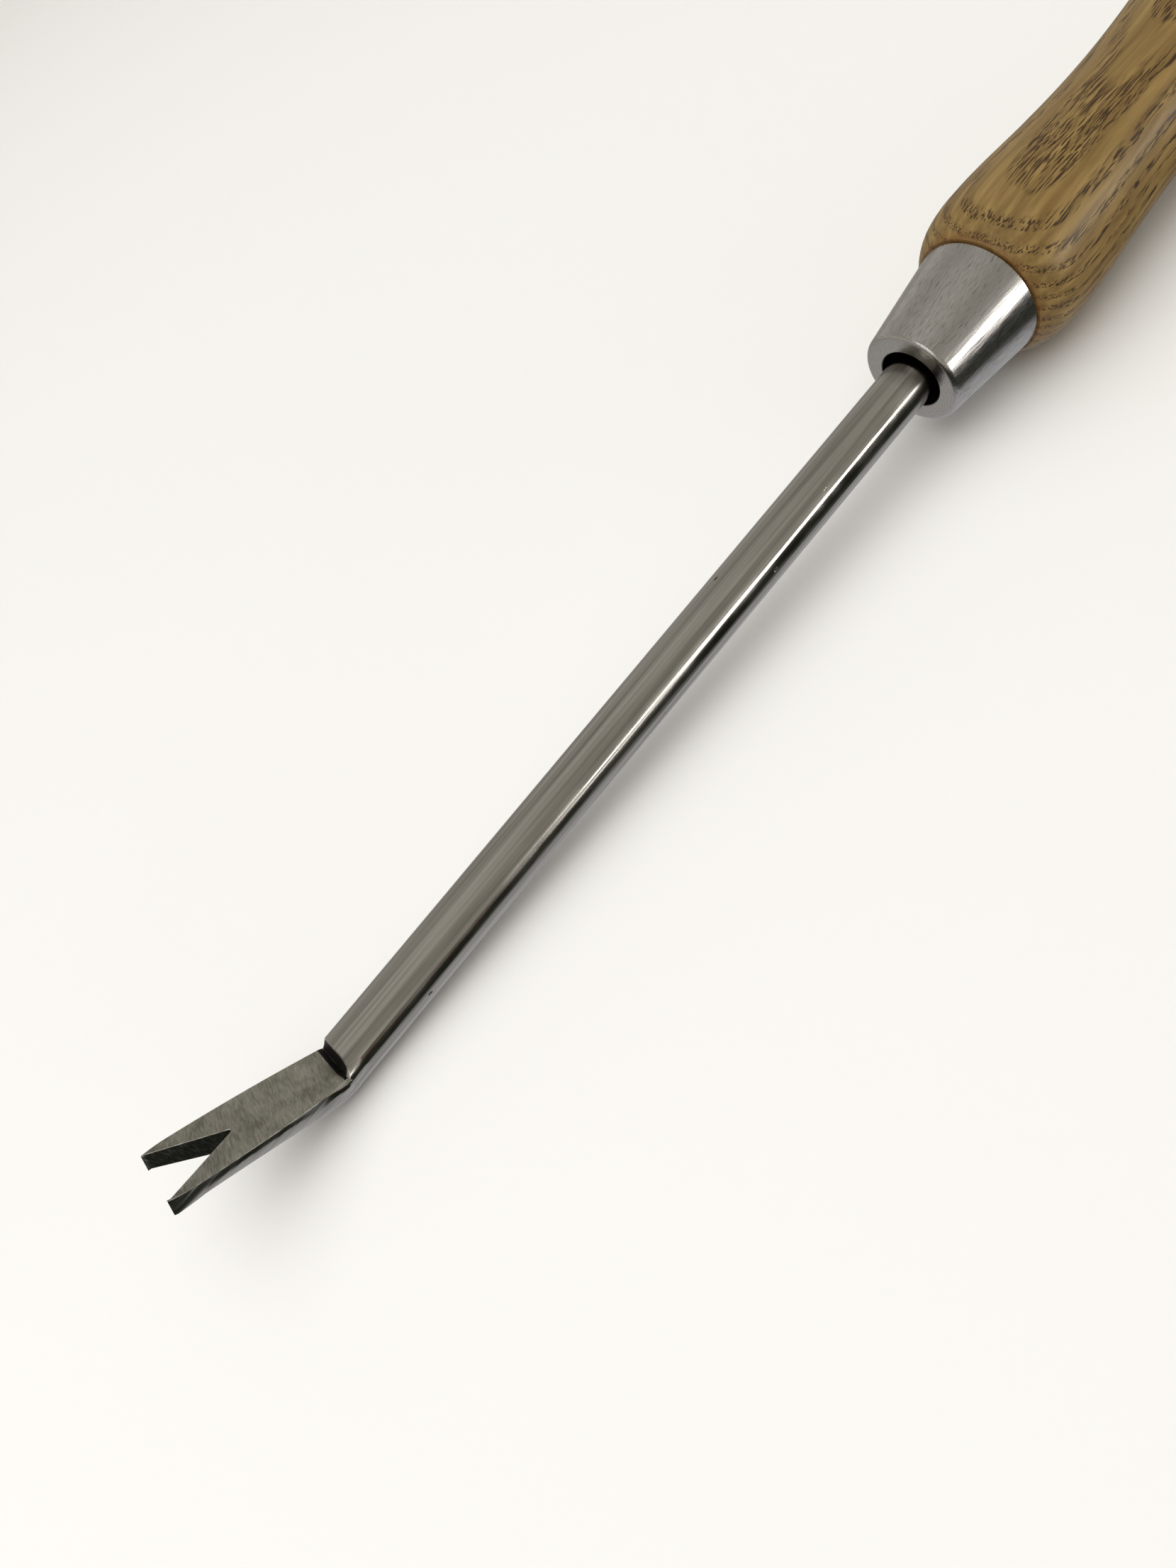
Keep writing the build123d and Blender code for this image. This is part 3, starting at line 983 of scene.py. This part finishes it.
# %% Find the year and the season at each spot of the wood
ring_width = 2.1
pith_place = (0, 8, 28)  # from the pith line to the handle's axis, millimetres
pith_tilt = 0.085  # radians
ash, tree, shader, spot = start_material("varnished_ash")
grain = add_node(tree, "ShaderNodeMapping", {0: spot, "Scale": (45, 14, 14)}, vector_type="TEXTURE")
sway = add_node(tree, "ShaderNodeTexNoise", {0: grain.outputs[0], "Scale": 1.0, "Detail": 2.0})
bent = add_node(
    tree,
    "ShaderNodeVectorMath",
    {0: sway.outputs["Color"], 1: (0, 3.0, 3.0), 2: spot},
    operation="MULTIPLY_ADD",
)
from_pith = add_node(
    tree, "ShaderNodeMapping", {0: bent.outputs[0], "Location": pith_place, "Rotation": (0, pith_tilt, 0)}
)
from_pith = add_node(
    tree,
    "ShaderNodeVectorMath",
    {0: from_pith.outputs[0], 1: (0, 1, 1)},
    operation="MULTIPLY",
)
from_pith = add_node(tree, "ShaderNodeVectorMath", {0: from_pith.outputs[0]}, operation="LENGTH")
years = add_node(tree, "ShaderNodeMath", {0: from_pith.outputs["Value"], 1: ring_width}, operation="DIVIDE")
season = add_node(tree, "ShaderNodeMath", {0: years.outputs[0]}, operation="FRACT")
spring = add_node(
    tree,
    "ShaderNodeValToRGB",
    {0: season.outputs[0]},
    stops=((0.0, "#ffffff"), (1.0, "#ffffff"), (0.3, "#ffffff"), (0.48, "#3c3c3c"), (0.92, "#242424")),
)
print("a year is", ring_width, "mm wide")

# %% Draw the pores and the plain wood between them
pore_size = (6, 0.3, 0.3)  # millimetres along and across the grain
grain = add_node(tree, "ShaderNodeMapping", {0: bent.outputs[0], "Scale": pore_size}, vector_type="TEXTURE")
pores = add_node(tree, "ShaderNodeTexNoise", {0: grain.outputs[0], "Scale": 1.0, "Detail": 2.0})
pores = add_node(tree, "ShaderNodeMapRange", {0: pores.outputs[0], "From Min": 0.49, "From Max": 0.58})
pores = add_node(tree, "ShaderNodeMath", {0: pores.outputs[0], 1: spring.outputs[0]}, operation="MULTIPLY")
figure_size = (35, 1.6, 1.6)
grain = add_node(
    tree,
    "ShaderNodeMapping",
    {0: bent.outputs[0], "Scale": figure_size},
    vector_type="TEXTURE",
)
figure = add_node(tree, "ShaderNodeTexNoise", {0: grain.outputs[0], "Scale": 1.0, "Detail": 5.0})
plain_wood = add_node(
    tree,
    "ShaderNodeValToRGB",
    {0: figure.outputs[0]},
    stops=((0.3, "#6b5126"), (0.72, "#957a46"), (0.5, "#7f6535")),
)
wood = add_node(
    tree,
    "ShaderNodeMix",
    {0: pores.outputs[0], 6: plain_wood.outputs[0], 7: paint("#3c270b")},
    data_type="RGBA",
)
print("pores are", pore_size[1], "mm wide and", pore_size[0], "mm long")

# %% [markdown]
# ### Where the wood meets the ferrule
# Varnish gathers against the ferrule's rim and leaves a thin orange-brown ring. In front of the rim
# the wood is inside the ferrule and is painted near black, a painted shade, which is all that shows in the
# mouth.

# %% Stain the wood at the rim and finish it
rim_x = -ferrule_length
stain_end_x, stain_full_x, most_stain = rim_x - 1.3, rim_x - 0.2, 0.45
mouth_shade_start_x, mouth_shade_full_x = rim_x + 2, rim_x + 4
along_tool = add_node(tree, "ShaderNodeSeparateXYZ", {0: spot})
at_rim = add_node(
    tree,
    "ShaderNodeMapRange",
    {0: along_tool.outputs["X"], "From Min": stain_end_x, "From Max": stain_full_x, "To Max": most_stain},
)
stained = add_node(
    tree,
    "ShaderNodeMix",
    {0: at_rim.outputs[0], 6: wood.outputs[2], 7: paint("#70481c")},
    data_type="RGBA",
)
# painted shade: the wood inside the ferrule is painted near black, the shade deep in the mouth
painted_shade_in_ferrule = add_node(
    tree,
    "ShaderNodeMapRange",
    {0: along_tool.outputs["X"], "From Min": mouth_shade_start_x, "From Max": mouth_shade_full_x},
)
colour = add_node(
    tree,
    "ShaderNodeMix",
    {0: painted_shade_in_ferrule.outputs[0], 6: stained.outputs[2], 7: paint("#060606")},
    data_type="RGBA",
)
relief = add_node(
    tree, "ShaderNodeBump", {"Height": pores.outputs[0], "Distance": 0.05 * MM, "Strength": 0.6}, invert=True
)
tree.links.new(colour.outputs[2], shader.inputs["Base Color"])
tree.links.new(relief.outputs[0], shader.inputs["Normal"])
shader.inputs["Roughness"].default_value = 0.5
shader.inputs["Specular IOR Level"].default_value = 0.3
shader.inputs["Coat Weight"].default_value = 0.22
shader.inputs["Coat Roughness"].default_value = 0.28
nodes["handle"].data.materials.clear()
nodes["handle"].data.materials.append(ash)
print(ash.name, "has", len(tree.nodes), "nodes")

# %% [markdown]
# ## Cured epoxy
# The glue round the tang is dark filled epoxy, cast in place. Only its front ring can be seen, deep in
# the ferrule's mouth, as a dull black with faint specks of filler.

# %% Make the epoxy
glue, tree, shader, spot = start_material("cured_dark_epoxy")
shader.inputs["Roughness"].default_value = 0.5
grain = add_node(tree, "ShaderNodeMapping", {0: spot, "Scale": (0.8, 0.8, 0.8)}, vector_type="TEXTURE")
specks = add_node(tree, "ShaderNodeTexNoise", {0: grain.outputs[0], "Scale": 1.0, "Detail": 3.0})
colour = add_node(
    tree, "ShaderNodeValToRGB", {0: specks.outputs[0]}, stops=((0.3, "#0c0b0a"), (0.7, "#1a1714"))
)
tree.links.new(colour.outputs[0], shader.inputs["Base Color"])
nodes["tang_adhesive"].data.materials.clear()
nodes["tang_adhesive"].data.materials.append(glue)
print("glue finished in", glue.name)
